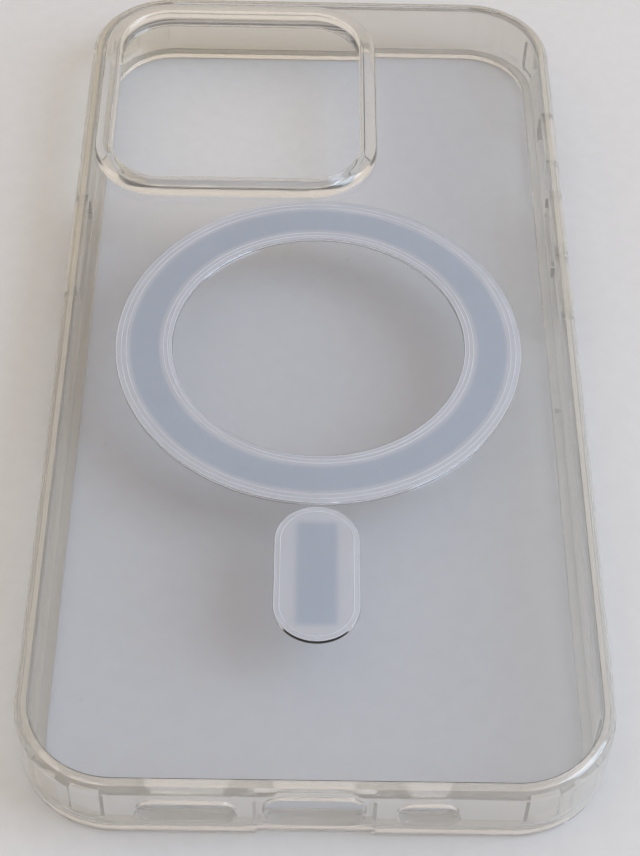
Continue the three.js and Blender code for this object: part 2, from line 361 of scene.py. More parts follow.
def bevelled(obj, width_mm, segments=2, angle=35.0):
    """Rounds the sharp edges."""
    modifier = obj.modifiers.new("Bevel", "BEVEL")
    modifier.width = width_mm * MM
    modifier.segments = segments
    modifier.limit_method = "ANGLE"
    modifier.angle_limit = math.radians(angle)
    modifier.use_clamp_overlap = True
    return bake_modifiers(obj)


def finished(obj, material, body, nodes):
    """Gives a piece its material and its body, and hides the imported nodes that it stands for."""
    if not obj.data.polygons:
        raise RuntimeError(f"{obj.name} has no faces")
    if material is not None:
        obj.data.materials.clear()
        obj.data.materials.append(material)
    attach(obj, body)
    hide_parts(*nodes)
    return obj


# ---------------------------------------------------------------- shader groups


def shader_group(name, inputs, outputs):
    """A new node group. Sockets are (name, kind, default)."""
    group = bpy.data.node_groups.new(name, "ShaderNodeTree")
    for direction, sockets in (("INPUT", inputs), ("OUTPUT", outputs)):
        for label, kind, default in sockets:
            item = group.interface.new_socket(name=label, in_out=direction, socket_type=kind)
            if default is not None:
                item.default_value = default
    group.nodes.new("NodeGroupInput").name = "In"
    group.nodes.new("NodeGroupOutput").name = "Out"
    return group


class Tree:
    """Short calls for adding and joining nodes."""

    def __init__(self, tree):
        self.tree = tree

    def add(self, kind, **settings):
        node = self.tree.nodes.new(kind)
        for key, value in settings.items():
            setattr(node, key, value)
        return node

    def link(self, source, target):
        self.tree.links.new(source, target)

    def math(self, operation, a, b=None, clamp=False):
        node = self.add("ShaderNodeMath", operation=operation, use_clamp=clamp)
        for socket, value in zip(node.inputs, (a, b)):
            self.feed(value, socket)
        return node.outputs[0]

    def feed(self, value, socket):
        if value is None:
            return
        if isinstance(value, bpy.types.NodeSocket):
            self.link(value, socket)
        else:
            socket.default_value = value

    def place(self, scale=(1.0, 1.0, 1.0)):
        """Object coordinates, scaled."""
        source = self.add("ShaderNodeTexCoord").outputs["Object"]
        mapping = self.add("ShaderNodeMapping")
        mapping.inputs["Scale"].default_value = scale
        self.link(source, mapping.inputs["Vector"])
        return mapping.outputs["Vector"]

    def noise(self, vector, scale, detail=2.0, roughness=0.5):
        node = self.add("ShaderNodeTexNoise")
        self.link(vector, node.inputs["Vector"])
        self.feed(scale, node.inputs["Scale"])
        node.inputs["Detail"].default_value = detail
        node.inputs["Roughness"].default_value = roughness
        return node.outputs["Fac"]

    def ramp(self, value, low, high, to_low=0.0, to_high=1.0):
        node = self.add("ShaderNodeMapRange", interpolation_type="SMOOTHSTEP")
        for name, item in (
            ("Value", value), ("From Min", low), ("From Max", high), ("To Min", to_low), ("To Max", to_high)
        ):
            self.feed(item, node.inputs[name])
        return node.outputs["Result"]

    def mix(self, factor, a, b):
        node = self.add("ShaderNodeMix", data_type="RGBA")
        for index, value in ((0, factor), (6, a), (7, b)):
            if isinstance(value, tuple) and len(value) == 3:
                value = (*value, 1.0)
            self.feed(value, node.inputs[index])
        return node.outputs[2]


def ripple_group():
    """The gentle waviness and fine peel of a moulded clear surface, as a height."""
    group = shader_group(
        "Moulded ripple",
        [("Wave Scale", "NodeSocketFloat", 60.0), ("Peel Scale", "NodeSocketFloat", 900.0),
         ("Peel Share", "NodeSocketFloat", 0.12)],
        [("Height", "NodeSocketFloat", None)],
    )
    t = Tree(group)
    entry, out = group.nodes["In"], group.nodes["Out"]
    place = t.place()
    wave = t.noise(place, entry.outputs["Wave Scale"], 1.5)
    peel = t.noise(place, entry.outputs["Peel Scale"], 2.0)
    fine = t.math("MULTIPLY", peel, entry.outputs["Peel Share"])
    t.link(t.math("ADD", wave, fine), out.inputs["Height"])
    return group


def scratch_group():
    """Hairline scratches in two directions, and rubbed patches, as masks."""
    group = shader_group(
        "Hairline scratches",
        [("Density", "NodeSocketFloat", 0.5)],
        [("Scratches", "NodeSocketFloat", None), ("Rubbed", "NodeSocketFloat", None)],
    )
    t = Tree(group)
    entry, out = group.nodes["In"], group.nodes["Out"]
    masks = []
    for turn, stretch in ((0.5, 22.0), (-0.9, 30.0)):
        mapping = t.add("ShaderNodeMapping")
        mapping.inputs["Rotation"].default_value = (0.0, 0.0, turn)
        mapping.inputs["Scale"].default_value = (stretch * 30.0, 30.0, 30.0)
        t.link(t.add("ShaderNodeTexCoord").outputs["Object"], mapping.inputs["Vector"])
        lines = t.noise(mapping.outputs["Vector"], 1.0, 3.0, 0.6)
        edge = t.math("SUBTRACT", 0.80, t.math("MULTIPLY", entry.outputs["Density"], 0.14))
        masks.append(t.ramp(lines, edge, 0.86))
    t.link(t.math("MAXIMUM", *masks), out.inputs["Scratches"])
    patch = t.noise(t.place(), 38.0, 3.0, 0.6)
    t.link(t.ramp(patch, 0.5, 0.74), out.inputs["Rubbed"])
    return group


def dust_group():
    """Sparse specks of dust, as a mask."""
    group = shader_group(
        "Dust specks",
        [("Scale", "NodeSocketFloat", 300.0), ("Share", "NodeSocketFloat", 0.03)],
        [("Specks", "NodeSocketFloat", None)],
    )
    t = Tree(group)
    entry, out = group.nodes["In"], group.nodes["Out"]
    cells = t.add("ShaderNodeTexVoronoi", feature="F1")
    t.link(t.place(), cells.inputs["Vector"])
    t.link(entry.outputs["Scale"], cells.inputs["Scale"])
    split = t.add("ShaderNodeSeparateColor")
    t.link(cells.outputs["Color"], split.inputs["Color"])
    chosen = t.math("LESS_THAN", split.outputs["Red"], entry.outputs["Share"])
    near = t.ramp(cells.outputs["Distance"], 0.16, 0.06, 0.0, 1.0)
    t.link(t.math("MULTIPLY", chosen, near), out.inputs["Specks"])
    return group


def ageing_group():
    """How yellowed the clear plastic is: more at the camera end's left, less at the near right."""
    group = shader_group(
        "Yellowing",
        [("Fresh", "NodeSocketColor", None), ("Aged", "NodeSocketColor", None)],
        [("Color", "NodeSocketColor", None), ("Amount", "NodeSocketFloat", None)],
    )
    t = Tree(group)
    entry, out = group.nodes["In"], group.nodes["Out"]
    place = t.place()
    split = t.add("ShaderNodeSeparateXYZ")
    t.link(place, split.inputs["Vector"])
    across = t.math("MULTIPLY", split.outputs["X"], -6.0)
    along = t.math("MULTIPLY", split.outputs["Y"], 3.2)
    patchy = t.math("MULTIPLY", t.noise(place, 34.0, 2.0), 0.5)
    total = t.math("ADD", t.math("ADD", across, along), t.math("ADD", patchy, 0.18))
    amount = t.ramp(total, 0.0, 0.95)
    t.link(amount, out.inputs["Amount"])
    t.link(t.mix(amount, entry.outputs["Fresh"], entry.outputs["Aged"]), out.inputs["Color"])
    return group


def magnets_beneath_group():
    """Where magnets lie under the film, as a mask with soft edges and faint joints."""
    group = shader_group("Magnets beneath", [], [("Magnets", "NodeSocketFloat", None)])
    t = Tree(group)
    split = t.add("ShaderNodeSeparateXYZ")
    t.link(t.place(), split.inputs["Vector"])
    inner, outer = ring_radii("magnet_01", RING_CENTRE)
    dx = t.math("SUBTRACT", split.outputs["X"], float(RING_CENTRE[0]) * MM)
    dy = t.math("SUBTRACT", split.outputs["Y"], float(RING_CENTRE[1]) * MM)
    reach = t.math("SQRT", t.math("ADD", t.math("MULTIPLY", dx, dx), t.math("MULTIPLY", dy, dy)))
    past_inner = t.math("SUBTRACT", 1.0, within(t, reach, inner, 0.35))
    ring = t.math("MULTIPLY", within(t, reach, outer, 0.35), past_inner)
    turn = t.math("MULTIPLY", t.math("ARCTAN2", dy, dx), MAGNET_COUNT / (2 * math.pi))
    share = t.math("ABSOLUTE", t.math("SUBTRACT", t.math("FRACT", turn), 0.5))
    ring = t.math("MULTIPLY", ring, t.ramp(share, 0.455, 0.5, 1.0, 0.86))
    low, high = millimetres("alignment_magnet")
    across = t.math("ABSOLUTE", t.math("SUBTRACT", split.outputs["X"], float(low[0] + high[0]) / 2 * MM))
    along = t.math("ABSOLUTE", t.math("SUBTRACT", split.outputs["Y"], float(low[1] + high[1]) / 2 * MM))
    bar = t.math(
        "MULTIPLY", within(t, across, float(high[0] - low[0]) / 2, 0.6),
        within(t, along, float(high[1] - low[1]) / 2, 0.6),
    )
    t.link(t.math("MAXIMUM", ring, bar), group.nodes["Out"].inputs["Magnets"])
    return group


def within(tree, value, edge_mm, blur_mm):
    """1 below an edge and 0 above it, blurred over a distance."""
    return tree.ramp(value, float(edge_mm - blur_mm) * MM, float(edge_mm + blur_mm) * MM, 1.0, 0.0)


GROUP_MAKERS = {
    "Moulded ripple": ripple_group,
    "Hairline scratches": scratch_group,
    "Dust specks": dust_group,
    "Yellowing": ageing_group,
    "Magnets beneath": magnets_beneath_group,
}


def use_group(tree, name, **values):
    """Places a shared group in a material with its own values."""
    group = bpy.data.node_groups.get(name) or GROUP_MAKERS[name]()
    node = tree.add("ShaderNodeGroup", node_tree=group)
    for key, value in values.items():
        socket = node.inputs[key.replace("_", " ")]
        if isinstance(value, (tuple, list)) or hasattr(value, "hsv"):
            value = (*tuple(value)[:3], 1.0)
        tree.feed(value, socket)
    return node


# ---------------------------------------------------------------- materials


def blank_material(name):
    """A material with a Principled shader and its output."""
    material = bpy.data.materials.get(name)
    if material is not None:
        bpy.data.materials.remove(material)
    material = bpy.data.materials.new(name)
    material.use_nodes = True
    tree = Tree(material.node_tree)
    shader = material.node_tree.nodes["Principled BSDF"]
    output = material.node_tree.nodes["Material Output"]
    return material, tree, shader, output


def fix_sockets(shader, **values):
    """Sets shader sockets that stay the same over the whole surface."""
    for name, value in values.items():
        shader.inputs[name.replace("_", " ")].default_value = value


def bump(tree, shader, height, strength, distance_mm):
    """Joins a height to a shader's normal."""
    node = tree.add("ShaderNodeBump")
    node.inputs["Strength"].default_value = strength
    node.inputs["Distance"].default_value = distance_mm * MM
    tree.link(height, node.inputs["Height"])
    tree.link(node.outputs["Normal"], shader.inputs["Normal"])


def let_light_through(tree, shader, output, face_on, edge_on):
    """Shadow rays pass straight through the clear plastic, dimmed more where they graze it."""
    clear = tree.add("ShaderNodeBsdfTransparent")
    grazing = tree.add("ShaderNodeLayerWeight")
    grazing.inputs["Blend"].default_value = 0.5
    tree.link(tree.mix(grazing.outputs["Facing"], face_on, edge_on), clear.inputs["Color"])
    choose = tree.add("ShaderNodeMixShader")
    tree.link(tree.add("ShaderNodeLightPath").outputs["Is Shadow Ray"], choose.inputs["Fac"])
    tree.link(shader.outputs["BSDF"], choose.inputs[1])
    tree.link(clear.outputs["BSDF"], choose.inputs[2])
    tree.link(choose.outputs["Shader"], output.inputs["Surface"])


def soft_clear_material(name, fresh, aged, roughness, wave_mm, clarity):
    """Clear soft moulding: faintly yellowed, wavy, with rubbed patches and dust."""
    material, t, shader, output = blank_material(name)
    ageing = use_group(t, "Yellowing", Fresh=fresh, Aged=aged)
    scratches = use_group(t, "Hairline scratches", Density=0.35)
    dust = use_group(t, "Dust specks", Scale=420.0, Share=0.02)
    tone = t.mix(dust.outputs["Specks"], ageing.outputs["Color"], (0.6, 0.58, 0.55))
    t.link(tone, shader.inputs["Base Color"])
    worn = t.math("MULTIPLY", scratches.outputs["Rubbed"], 0.05)
    lined = t.math("MULTIPLY", scratches.outputs["Scratches"], 0.12)
    marks = t.math("ADD", worn, t.math("ADD", lined, t.math("MULTIPLY", dust.outputs["Specks"], 0.5)))
    t.link(t.math("ADD", marks, roughness, clamp=True), shader.inputs["Roughness"])
    fix_sockets(shader, IOR=1.5, Transmission_Weight=clarity, Coat_Weight=0.6, Coat_Roughness=0.03)
    ripple = use_group(t, "Moulded ripple", Wave_Scale=70.0, Peel_Scale=1100.0, Peel_Share=0.06)
    bump(t, shader, ripple.outputs["Height"], 1.0, wave_mm)
    let_light_through(t, shader, output, (0.70, 0.67, 0.62), (0.50, 0.46, 0.41))
    return material


def plate_material(colours):
    """Clear hard sheet with hairline scratches and a little dust."""
    material, t, shader, output = blank_material("clear_plate")
    dust = use_group(t, "Dust specks", Scale=240.0, Share=0.012)
    scratches = use_group(t, "Hairline scratches", Density=0.5)
    tint = (*colours.plate, 1.0)
    t.link(t.mix(dust.outputs["Specks"], tint, (0.55, 0.53, 0.5)), shader.inputs["Base Color"])
    lined = t.math("MULTIPLY", scratches.outputs["Scratches"], 0.16)
    worn = t.math("MULTIPLY", scratches.outputs["Rubbed"], 0.035)
    marks = t.math("ADD", t.math("ADD", lined, worn), t.math("MULTIPLY", dust.outputs["Specks"], 0.6))
    t.link(t.math("ADD", marks, 0.015, clamp=True), shader.inputs["Roughness"])
    fix_sockets(shader, IOR=1.58, Transmission_Weight=1.0)
    ripple = use_group(t, "Moulded ripple", Wave_Scale=45.0, Peel_Scale=700.0, Peel_Share=0.05)
    bump(t, shader, ripple.outputs["Height"], 1.0, 0.02)
    let_light_through(t, shader, output, (0.70, 0.70, 0.70), (0.52, 0.51, 0.50))
    return material


def film_material(colours):
    """Frosted film that half hides the magnets it is bonded to."""
    material, t, shader, output = blank_material("cover_film")
    place = t.place()
    cloud = t.noise(place, 180.0, 4.0, 0.6)
    pale = tuple(min(1.0, c * 1.03) for c in colours.film)
    frost = t.mix(t.ramp(cloud, 0.3, 0.7), (*colours.film, 1.0), (*pale, 1.0))
    beneath = use_group(t, "Magnets beneath")
    t.link(t.mix(beneath.outputs["Magnets"], frost, (*colours.film_dark, 1.0)), shader.inputs["Base Color"])
    t.link(t.ramp(cloud, 0.2, 0.8, 0.42, 0.62), shader.inputs["Roughness"])
    t.link(t.ramp(t.noise(place, 60.0, 3.0), 0.2, 0.8, 0.60, 0.66), shader.inputs["Alpha"])
    bump(t, shader, t.noise(place, 1500.0, 2.0), 0.4, 0.01)
    return material


def bead_material(colours):
    """Pale edge lines where the film layers end."""
    material, t, shader, output = blank_material("film_edge")
    cloud = t.noise(t.place(), 260.0, 3.0)
    dim = tuple(c * 0.9 for c in colours.bead)
    t.link(t.mix(t.ramp(cloud, 0.3, 0.7), (*colours.bead, 1.0), (*dim, 1.0)), shader.inputs["Base Color"])
    t.link(t.ramp(cloud, 0.2, 0.8, 0.25, 0.45), shader.inputs["Roughness"])
    return material


def backing_material(colours):
    """White adhesive film with a faint paper-like fibre."""
    material, t, shader, output = blank_material("backing_film")
    place = t.place()
    fibre = t.noise(place, 900.0, 4.0, 0.65)
    dim = tuple(c * 0.93 for c in colours.backing)
    tone = t.mix(t.ramp(fibre, 0.35, 0.65), (*dim, 1.0), (*colours.backing, 1.0))
    t.link(tone, shader.inputs["Base Color"])
    t.link(t.ramp(fibre, 0.2, 0.8, 0.55, 0.75), shader.inputs["Roughness"])
    bump(t, shader, fibre, 0.5, 0.01)
    return material


def magnet_material(colours):
    """Plated magnets with a satin grind and a little cloudiness."""
    material, t, shader, output = blank_material("magnet")
    place = t.place()
    cloud = t.noise(place, 140.0, 4.0, 0.6)
    grind = t.noise(t.place((40.0, 1.0, 40.0)), 260.0, 2.0)
    dim = tuple(c * 0.82 for c in colours.magnet)
    t.link(t.mix(t.ramp(cloud, 0.3, 0.7), (*dim, 1.0), (*colours.magnet, 1.0)), shader.inputs["Base Color"])
    fix_sockets(shader, Metallic=0.3)
    t.link(t.ramp(grind, 0.2, 0.8, 0.32, 0.5), shader.inputs["Roughness"])
    bump(t, shader, grind, 0.4, 0.004)
    return material


def floor_material(stage):
    """Pale, faintly fibrous floor."""
    material, t, shader, output = blank_material("floor")
    place = t.place()
    grain = t.noise(place, 420.0, 3.0, 0.55)
    tone = tuple(stage.floor)
    dim = tuple(c * 0.975 for c in tone)
    t.link(t.mix(t.ramp(grain, 0.35, 0.65), (*dim, 1.0), (*tone, 1.0)), shader.inputs["Base Color"])
    t.link(t.ramp(grain, 0.2, 0.8, 0.75, 0.9), shader.inputs["Roughness"])
    bump(t, shader, grain, 0.35, 0.05)
    return material


# ---------------------------------------------------------------- soft frame


CELL_ANGLES = (17.0, 45.0, 73.0)
CELL_LOW, CELL_HIGH = 2.2, 8.4
DEVICE_MIDDLE = 5.1


def cell_share(settings, through, height):
    """How deep a corner cell is at an angle and height, from 0 to 1, with soft edges."""
    if through is None:
        return 0.0
    half = settings.cell_span / 2
    side = max(smooth_step(half - abs(through - angle), -1.2, 1.2) for angle in CELL_ANGLES)
    level = smooth_step(height, CELL_LOW - 0.2, CELL_LOW + 0.5) * smooth_step(CELL_HIGH - height, -0.2, 0.5)
    return side * level


def smooth_step(value, low, high):
    """Rises smoothly from 0 at low to 1 at high."""
    share = min(max((value - low) / (high - low), 0.0), 1.0)
    return share * share * (3 - 2 * share)


def frame_section(settings, through):
    """The frame's cross-section: outset from the outer face and height, going up the outside."""
    top, rim, back = float(BACK_TOP), settings.rim_edge, settings.back_edge
    underside = float(PLATE_LOW[2])
    groove_top = underside + settings.flange + HAIR
    inner, lip = -settings.wall, -settings.wall - settings.lip
    plate, groove = HAIR - settings.plate_inset, HAIR - settings.flange_inset
    ledge, fillet = settings.lip_edge, 0.25
    outside = arc((-rim, rim), rim, -90, 0, 5) + [(0.0, 3.0), (0.0, 5.5), (0.0, 7.5)]
    outside += arc((-back, top - back), back, 0, 90, 12)
    seat = [(plate + 0.06, top), (plate, top - 0.06), (plate, groove_top), (groove, groove_top)]
    seat += [(groove, underside - HAIR), (inner, underside - HAIR)]
    cavity = []
    levels = [8.8, 8.5, 8.2, 7.9, 7.5, 6.0, 4.5, 3.0, 2.7, 2.4, 2.1, 1.8]
    for height in levels:
        cavity.append((inner + settings.cell_depth * cell_share(settings, through, height), height))
    floor = settings.lip_height
    foot = arc((inner - fillet, floor + fillet), fillet, 0, -90, 4)
    nose = arc((lip + ledge, floor - ledge), ledge, 90, 180, 5)
    under = arc((lip + ledge, ledge), ledge, 180, 270, 4)
    return outside + seat + cavity + foot + nose + under


def opening_cutter(name, outline, place, depths):
    """A cutter lofted through a wall. depths are (distance into the wall, how much wider), and
    place turns outline points and a distance into the case's space."""
    rings = []
    for depth, grow in depths:
        rings.append([place(x + nx * grow, y + ny * grow, depth) for (x, y), (nx, ny), _ in outline])
    return stacked(name, rings)


def mouth(wall, rounding, inner_rounding, steps=5):
    """Depths through a wall, from outside in, that round the edges of the opening it leaves."""
    depths = [(-0.6, rounding)]
    for step in range(steps + 1):
        depth = rounding * (1 - math.cos(math.radians(90 * step / steps)))
        depths.append((depth, rounding - math.sqrt(max(rounding**2 - (rounding - depth) ** 2, 0.0))))
    for step in range(steps + 1):
        depth = wall - inner_rounding * (1 - math.sin(math.radians(90 * step / steps)))
        back = depth - (wall - inner_rounding)
        grow = inner_rounding - math.sqrt(max(inner_rounding**2 - back**2, 0.0))
        depths.append((depth, grow))
    depths.append((wall + 0.6, inner_rounding))
    return depths


def port_end_place(x, z, depth):
    """A point of the port-end wall, at a depth in from its outer face."""
    return Vector((x, -CASE_LENGTH / 2 + depth, z))


def right_place(y, z, depth):
    """A point of the right-hand wall, at a depth in from its outer face."""
    return Vector((CASE_WIDTH / 2 - depth, y, z))


def left_place(y, z, depth):
    """A point of the left-hand wall, at a depth in from its outer face."""
    return Vector((depth - CASE_WIDTH / 2, -y, z))


# Openings in the port-end wall: width, height, corner radius, middle, steps round a corner, and the
# rounding of the outer and the inner edge
PORT_END_OPENINGS = {
    "port_cut": (12.4, 6.1, 2.4, (0.0, 4.65), 8, 0.75, 0.25),
    "left_slot_cut": (12.0, 3.8, 1.9, (-15.7, DEVICE_MIDDLE), 10, 0.45, 0.2),
    "right_slot_cut": (7.4, 3.8, 1.9, (13.9, DEVICE_MIDDLE), 10, 0.45, 0.2),
}
SWITCH_LENGTH, SWITCH_HEIGHT, SWITCH_RADIUS, SWITCH_Y = 11.4, 5.0, 2.0, 44.3


def port_end_cutters(wall):
    """The charging port and the slots beside it."""
    cutters = []
    for name, (width, height, radius, centre, steps, outer, inner) in PORT_END_OPENINGS.items():
        outline = rounded_outline(width, height, radius, centre, steps=steps, spacing=1.5)
        cutters.append(inside_out(opening_cutter(name, outline, port_end_place, mouth(wall, outer, inner))))
    return cutters


def inside_out(obj):
    """Turns a lofted cutter's faces outwards, whichever way it was lofted."""
    work = bmesh.new()
    work.from_mesh(obj.data)
    bmesh.ops.recalc_face_normals(work, faces=work.faces)
    if work.calc_volume(signed=True) < 0:
        bmesh.ops.reverse_faces(work, faces=work.faces)
    work.to_mesh(obj.data)
    work.free()
    return obj


def scoop_cutter():
    """The shallow scoop round the port: a shallow arched pocket with sloping ends."""
    half, crest, shoulder = 7.0, 9.6, 7.9
    levels = [(-1.0, 0.9), (0.0, 0.55), (0.3, 0.22), (0.45, 0.0), (0.52, -0.5)]
    rings = []
    for depth, grow in levels:
        ring = [port_end_place(-half - grow, -1.0, depth), port_end_place(half + grow, -1.0, depth)]
        for step in range(17):
            share = 1 - 2 * step / 16
            height = shoulder + (crest - shoulder) * (1 - share * share) + grow * 0.8
            ring.append(port_end_place((half + grow) * share, height, depth))
        rings.append(ring)
    return inside_out(stacked("scoop_cut", rings))


BUTTONS = {
    "power": ("power_button", "left"),
    "volume_up": ("volume_up_button", "right"),
    "volume_down": ("volume_down_button", "right"),
}
FLANGE_MARGIN, BUTTON_CLEARANCE, PROUD = 0.7, 0.2, 0.2
FLANGE_THICKNESS, TRAVEL = 0.4, 0.4


def button_layout(body):
    """A button's middle, its cap length and height, and the placing function of its wall."""
    node, side = BUTTONS[body]
    low, high = millimetres(node)
    y = (low[1] + high[1]) / 2
    cap_length = high[1] - low[1] - 2 * FLANGE_MARGIN
    cap_height = high[2] - low[2] - 2 * FLANGE_MARGIN
    place = right_place if side == "right" else left_place
    return (y if side == "right" else -y), cap_length, cap_height, place


def button_cutters(body, wall):
    """The slot for a button's cap, and the pocket for its flange inside."""
    y, cap_length, cap_height, place = button_layout(body)
    clear = BUTTON_CLEARANCE
    slot = rounded_outline(
        cap_length + 2 * clear, cap_height + 2 * clear, cap_height / 2 + clear,
        (y, DEVICE_MIDDLE), steps=10, spacing=2.0,
    )
    reach = FLANGE_MARGIN + clear
    pocket = rounded_outline(
        cap_length + 2 * reach, cap_height + 2 * reach, cap_height / 2 + reach,
        (y, DEVICE_MIDDLE), steps=10, spacing=2.0,
    )
    floor = wall - TRAVEL - FLANGE_THICKNESS - 0.05
    cuts = [
        opening_cutter(f"{body}_slot", slot, place, mouth(wall, 0.28, 0.02, 4)),
        opening_cutter(f"{body}_pocket", pocket, place, [(floor, 0.0), (wall, 0.0), (wall + 0.6, 0.0)]),
    ]
    return [inside_out(cut) for cut in cuts]


def switch_cutter(wall):
    """The opening over the silent switch, with a flared mouth."""
    outline = rounded_outline(
        SWITCH_LENGTH, SWITCH_HEIGHT, SWITCH_RADIUS, (SWITCH_Y, DEVICE_MIDDLE), steps=8, spacing=2.0
    )
    return inside_out(opening_cutter("switch_cut", outline, right_place, mouth(wall, 0.5, 0.25)))


def build_frame(settings):
    """The soft frame: a swept section with the openings cut through it."""
    stations = rounded_outline(CASE_WIDTH, CASE_LENGTH, settings.corner_radius, steps=45, spacing=3.0)
    body = swept("soft_frame", stations, lambda station: frame_section(settings, station[2]))
    tools = [scoop_cutter(), *port_end_cutters(settings.wall), switch_cutter(settings.wall)]
    for name in BUTTONS:
        tools += button_cutters(name, settings.wall)
    combined(body, tools, "DIFFERENCE")
    return tidied(body, 30.0)


# ---------------------------------------------------------------- plate, guard, buttons


def case_outline(inset, radius, steps=30, spacing=6.0):
    """The case's outline moved inwards."""
    return rounded_outline(
        CASE_WIDTH - 2 * inset, CASE_LENGTH - 2 * inset, radius - inset, steps=steps, spacing=spacing
    )


def window_size(guard):
    """The camera window's middle, width and length, from the guard's base."""
    reach = guard.crest + guard.slope
    size = GUARD_HIGH - GUARD_LOW
    return (GUARD_LOW + GUARD_HIGH)[:2] / 2, size[0] - 2 * reach, size[1] - 2 * reach


def window_outline(guard, outset, steps=24):
    """The camera window's outline moved outwards."""
    centre, width, length = window_size(guard)
    return rounded_outline(
        width + 2 * outset, length + 2 * outset, guard.window_radius + outset,
        tuple(centre), steps=steps, spacing=5.0,
    )


def upright_cutter(name, outline, low, high):
    """A straight cutter through a flat sheet."""
    return inside_out(stacked(name, [offset_ring(outline, 0.0, low), offset_ring(outline, 0.0, high)]))


def circle_outline(radius, centre, steps=160):
    """Stations round a circle."""
    stations = []
    for step in range(steps):
        angle = 2 * math.pi * step / steps
        normal = (math.cos(angle), math.sin(angle))
        place = (centre[0] + radius * normal[0], centre[1] + radius * normal[1])
        stations.append((place, normal, None))
    return stations


def bar_outline(node, outset):
    """A pill round a packed bar or film, moved outwards."""
    low, high = millimetres(node)
    width, length = high[0] - low[0] + 2 * outset, high[1] - low[1] + 2 * outset
    return rounded_outline(
        width, length, min(width, length) / 2, tuple((low + high)[:2] / 2), steps=24, spacing=3.0
    )


def build_plate(settings, guard, ring):
    """The hard back plate, with its flange, window and recesses."""
    low, high = float(PLATE_LOW[2]), float(PLATE_HIGH[2])
    recess_top = low + 1.0
    outer = case_outline(settings.plate_inset, settings.corner_radius)
    ledge = settings.plate_inset - settings.flange_inset
    rings = [
        offset_ring(outer, ledge, low),
        offset_ring(outer, ledge, low + settings.flange),
        offset_ring(outer, 0.0, low + settings.flange),
        offset_ring(outer, 0.0, high),
    ]
    plate = stacked("clear_plate", rings)
    film_low, film_high = millimetres("ring_cover_film")
    outer_radius = (film_high[0] - film_low[0]) / 2 + ring.margin
    inner_radius = ring_radii("ring_cover_film", RING_CENTRE)[0] - ring.margin
    recess = swept(
        "ring_recess",
        circle_outline(1.0, RING_CENTRE),
        lambda _: [(inner_radius - 1, low - 1), (outer_radius - 1, low - 1),
                   (outer_radius - 1, recess_top), (inner_radius - 1, recess_top)],
    )
    bar = upright_cutter("bar_recess", bar_outline("bar_cover_film", ring.margin), low - 1, recess_top)
    window = upright_cutter("window_cut", window_outline(guard, guard.lining + HAIR), low - 1, high + 1)
    combined(plate, [inside_out(recess), bar, window], "DIFFERENCE")
    bevelled(plate, 0.07, 2, 40.0)
    return tidied(plate, 32.0)


def guard_section(guard):
    """The guard's cross-section: outset from the window's edge and height."""
    low, foot, top = float(GUARD_LOW[2]), float(PLATE_HIGH[2]) + HAIR, float(GUARD_HIGH[2])
    crest, slope, lining, bevel = guard.crest, guard.slope, guard.lining, guard.bevel
    rise = top - foot - 0.25
    lining_side = [(0.08, low), (lining - 0.08, low), (lining, low + 0.08), (lining, foot)]
    outer = [(crest + slope - 0.05, foot), (crest + slope, foot + 0.06)]
    for step in range(1, 13):
        angle = math.radians(90 * step / 12)
        outer.append((crest - 0.1 + (slope + 0.1) * math.cos(angle), foot + 0.25 + rise * math.sin(angle)))
    inner = arc((bevel, top - bevel), bevel, 90, 180, 7)
    wall_levels = [(0.0, 11.2), (0.0, 10.2), (0.0, low + 0.08)]
    return lining_side + outer + inner + wall_levels


def build_guard(guard):
    """The raised guard round the camera window."""
    stations = window_outline(guard, 0.0, steps=32)
    return tidied(swept("window_guard", stations, lambda _: guard_section(guard)), 40.0)


def build_button(body, wall):
    """A button: a pillowed cap with a rounded edge, and a flange inside the wall."""
    y, cap_length, cap_height, place = button_layout(body)
    outline = rounded_outline(
        cap_length, cap_height, cap_height / 2, (y, DEVICE_MIDDLE), steps=12, spacing=1.0
    )
    flange_face = wall - TRAVEL - FLANGE_THICKNESS
    levels = [(wall - TRAVEL, FLANGE_MARGIN - 0.06), (wall - TRAVEL - 0.06, FLANGE_MARGIN)]
    levels += [(flange_face + 0.06, FLANGE_MARGIN), (flange_face, FLANGE_MARGIN - 0.06)]
    levels += [(flange_face, 0.03), (flange_face - 0.05, 0.0), (0.25, 0.0)]
    for step in range(1, 6):
        angle = math.radians(90 * step / 5)
        levels.append((0.25 - 0.38 * math.sin(angle), 0.38 * (math.cos(angle) - 1)))
    levels += [(-0.165, -0.7), (-0.188, -1.1), (-PROUD, -1.45)]
    rings = []
    for depth, grow in levels:
        rings.append([place(x + nx * grow, z + nz * grow, depth) for (x, z), (nx, nz), _ in outline])
    return tidied(inside_out(stacked(f"{body}_cap", rings)), 35.0)


# ---------------------------------------------------------------- magnets and films


def node_tree(name, sockets):
    """A new Geometry Nodes tree with named inputs and one geometry output."""
    tree = bpy.data.node_groups.new(name, "GeometryNodeTree")
    tree.interface.new_socket(name="Geometry", in_out="INPUT", socket_type="NodeSocketGeometry")
    for label, kind, default in sockets:
        item = tree.interface.new_socket(name=label, in_out="INPUT", socket_type=kind)
        if default is not None:
            item.default_value = default
    tree.interface.new_socket(name="Geometry", in_out="OUTPUT", socket_type="NodeSocketGeometry")
    tree.nodes.new("NodeGroupInput").name = "In"
    tree.nodes.new("NodeGroupOutput").name = "Out"
    return tree


